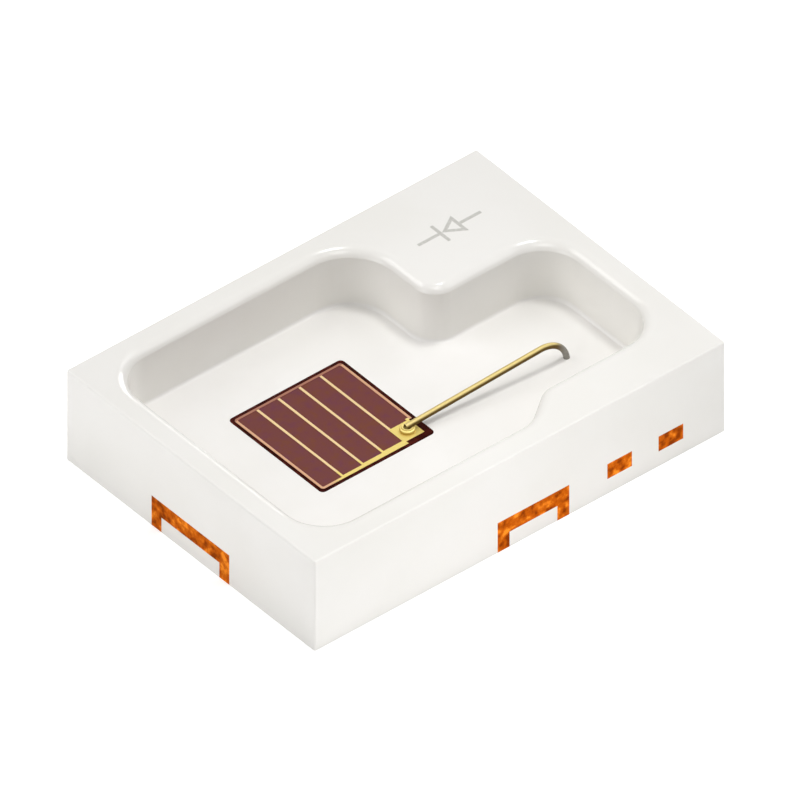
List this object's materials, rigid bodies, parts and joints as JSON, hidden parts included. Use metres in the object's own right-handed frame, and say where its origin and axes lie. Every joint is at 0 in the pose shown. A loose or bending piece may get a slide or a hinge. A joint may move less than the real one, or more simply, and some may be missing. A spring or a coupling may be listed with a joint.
{
  "type": "surface-mount led",
  "caption": "Surface-mount LED: white moulded package with an open reflector cavity, copper leads cut flush at its sides, a thin square light-emitting chip and a low gold bond wire.",
  "frame": {"origin": "centre of the package's underside", "axes": "+X along the package's length towards the wire bay, +Z out of the cavity, the way the light goes"},
  "size_m": [0.0028, 0.002, 0.0006],
  "materials": {
    "white_moulding": "satin",
    "white_casting": "satin",
    "lead_copper": "sawn",
    "attach_metal": "matt",
    "chip_carrier": "polished",
    "emitter": "satin",
    "contact_gold": "polished",
    "wire_gold": "polished"
  },
  "bodies": {
    "root": {"housing": "white_moulding", "die_lead": "lead_copper", "wire_lead": "lead_copper", "floor_casting": "white_casting", "die_attach": "attach_metal", "chip_carrier": "chip_carrier", "emitter_layer": "emitter", "contact_grid": "contact_gold", "bond_bump": "wire_gold", "bond_wire": "wire_gold"}
  },
  "joints": []
}
